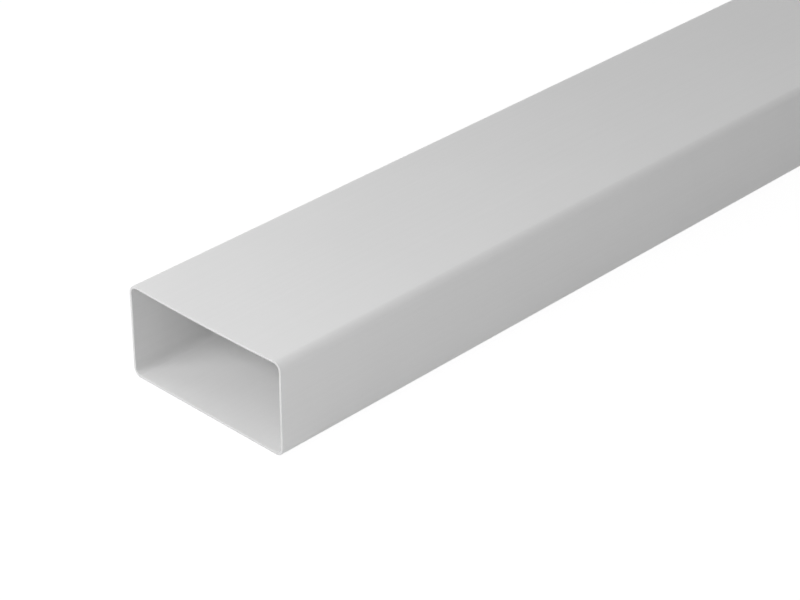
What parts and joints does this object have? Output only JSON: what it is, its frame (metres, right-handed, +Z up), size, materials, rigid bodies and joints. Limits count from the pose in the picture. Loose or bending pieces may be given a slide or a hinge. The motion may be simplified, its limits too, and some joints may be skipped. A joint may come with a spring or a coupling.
{
  "type": "flat channel duct",
  "caption": "Straight flat channel duct: a thin-walled rectangular plastic tube with rounded corners and square sawn open ends, for carrying ventilation air.",
  "frame": {"origin": "middle of the underside, at mid-length and mid-width, on the surface that the duct lies on", "axes": "+Y along the duct's length from the near end to the far end, +X across its wide walls, +Z up through its height"},
  "size_m": [0.11, 1, 0.054],
  "materials": {
    "rigid_pvc": "satin"
  },
  "bodies": {
    "root": {"flat_channel_duct": "rigid_pvc"}
  },
  "joints": []
}
